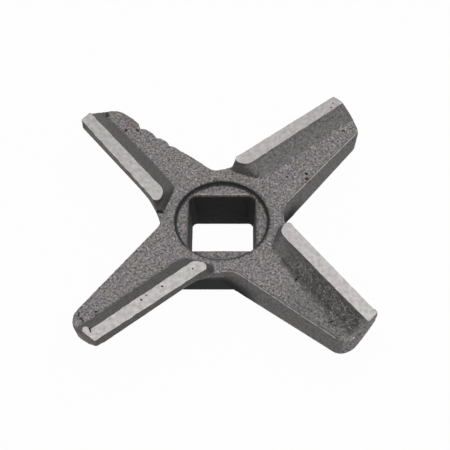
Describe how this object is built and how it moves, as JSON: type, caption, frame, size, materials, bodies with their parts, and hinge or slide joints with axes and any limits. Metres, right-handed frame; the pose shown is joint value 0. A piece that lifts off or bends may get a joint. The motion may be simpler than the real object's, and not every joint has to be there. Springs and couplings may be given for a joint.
{
  "type": "mincer knife",
  "caption": "Cast knife for a hand mincer: swept arms with raised cutting lands ground flat, around a tapered square hub with a square drive hole.",
  "frame": {"origin": "on the axis of the square hole, in the back face of the hub that the knife stands on", "axes": "+Z along the hole, from the hub's back face to the cutting plane; the hole's sides run along X and Y"},
  "size_m": [0.0422, 0.0422, 0.0098],
  "materials": {
    "cast_iron": "rough as cast, with the cutting lands ground bright"
  },
  "bodies": {
    "root": {"cross_knife": "cast_iron"}
  },
  "joints": []
}
